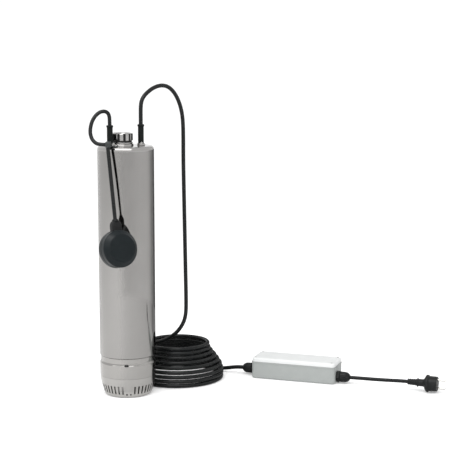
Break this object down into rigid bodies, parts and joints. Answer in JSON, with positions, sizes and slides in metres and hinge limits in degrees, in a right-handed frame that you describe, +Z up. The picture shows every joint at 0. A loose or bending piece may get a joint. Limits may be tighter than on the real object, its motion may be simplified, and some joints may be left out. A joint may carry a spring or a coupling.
{
  "type": "submersible sump pump",
  "caption": "Tall stainless submersible pump with a top discharge port, hanging float switch, and a coiled power cable leading to a start box and mains plug.",
  "frame": {"origin": "centre of the pump's foot, on the floor", "axes": "+Z up along the pump's shaft, +X to the right of the float switch side, -Y towards the side the float switch hangs on"},
  "size_m": [0.8126, 0.3875, 0.7091],
  "materials": {
    "polished_stainless": "polished stainless steel jacket, casing, head, port",
    "strainer_stainless": "polished stainless steel strainer",
    "steel": "machined stainless shaft, screws, brackets",
    "cast_iron_part": "machined castings",
    "engineering_plastic": "glass-filled plastic impellers and bowls",
    "lamination": "laminated electrical steel",
    "copper_winding": "enamelled copper",
    "bronze": "bronze bush and contact",
    "seal_ceramic": "ceramic seal faces",
    "black_rubber": "black rubber",
    "cable_rubber": "black neoprene cable sheath",
    "float_plastic": "dark grey moulded plastic",
    "clip_plastic": "dark grey moulded plastic",
    "box_grey": "light grey moulded plastic",
    "lid_grey": "very light grey moulded plastic",
    "gland_plastic": "black polyamide",
    "capacitor_can": "aluminium can",
    "plug_black": "black moulded plastic",
    "nickel_pin": "nickel plated brass"
  },
  "bodies": {
    "pump": {"suction_strainer": "strainer_stainless", "suction_casing": "polished_stainless", "casing_lock_screws": "steel", "sleeve_o_rings": "black_rubber", "outer_sleeve": "polished_stainless", "discharge_head": "polished_stainless", "discharge_port": "polished_stainless", "suction_plate": "steel", "lower_bush": "bronze", "stage_bowl_1": "engineering_plastic", "stage_bowl_2": "engineering_plastic", "stage_bowl_3": "engineering_plastic", "seal_housing": "cast_iron_part", "seal_seat": "seal_ceramic", "motor_casing": "steel", "lower_bearing_bracket": "cast_iron_part", "upper_bearing_bracket": "cast_iron_part", "stator_core": "lamination", "stator_winding": "copper_winding", "bearing_outer_races": "steel", "motor_top_cover": "cast_iron_part", "power_cable_gland": "black_rubber", "float_cable_gland": "black_rubber", "gland_plates": "polished_stainless", "gland_screws": "steel", "float_cable_clip": "clip_plastic", "clip_screw": "steel", "power_cable_run": "cable_rubber", "power_cable_coil": "cable_rubber", "power_cable_link": "cable_rubber", "mains_cable": "cable_rubber", "float_cable_loop": "cable_rubber", "box_base": "box_grey", "box_lid": "lid_grey", "box_gasket": "black_rubber", "box_screws": "steel", "capacitor": "capacitor_can", "box_gland_bodies": "gland_plastic", "box_gland_nuts": "gland_plastic", "plug_body": "plug_black", "plug_sleeve": "plug_black", "plug_pins": "nickel_pin", "plug_earth_contact": "bronze"},
    "rotor": {"shaft": "steel", "impeller_1": "engineering_plastic", "impeller_2": "engineering_plastic", "impeller_3": "engineering_plastic", "shaft_spacers": "steel", "impeller_nut": "steel", "rotor_core": "lamination", "bearing_inner_races": "steel", "seal_ring": "seal_ceramic"},
    "bearing_ball_sets": {"bearing_balls": "steel"},
    "float": {"float_shell_front": "float_plastic", "float_shell_back": "float_plastic", "float_neck": "black_rubber", "float_microswitch": "float_plastic", "float_cable_drop": "cable_rubber"},
    "float_ball": {"float_ball": "steel"},
    "switch_lever": {"switch_lever": "steel"}
  },
  "joints": [
    {"name": "rotor_spin", "type": "hinge", "parent": "pump", "child": "rotor", "pos_m": [0, 0, 0.3], "axis": [0, 0, 1], "continuous": true},
    {"name": "ball_sets_spin", "type": "hinge", "parent": "pump", "child": "bearing_ball_sets", "pos_m": [0, 0, 0.3], "axis": [0, 0, 1], "continuous": true},
    {"name": "float_swing", "type": "hinge", "parent": "pump", "child": "float", "pos_m": [-0.035, -0.0662, 0.566], "axis": [-1, 0, 0], "range_deg": [-1, 95]},
    {"name": "float_ball_roll", "type": "slide", "parent": "float", "child": "float_ball", "axis": [-0.0998, 0.1776, 0.979], "range_m": [0, 0.02]},
    {"name": "switch_lever_tilt", "type": "hinge", "parent": "float", "child": "switch_lever", "pos_m": [-0.00687, -0.09912, 0.36016], "axis": [-0.5122, 0.8344, -0.2036], "range_deg": [0, 9]}
  ],
  "couplings": [
    {"joint": "ball_sets_spin", "follows": "rotor_spin", "ratio": 0.3815},
    {"joint": "switch_lever_tilt", "follows": "float_ball_roll", "rad_per_m": 7.85}
  ]
}
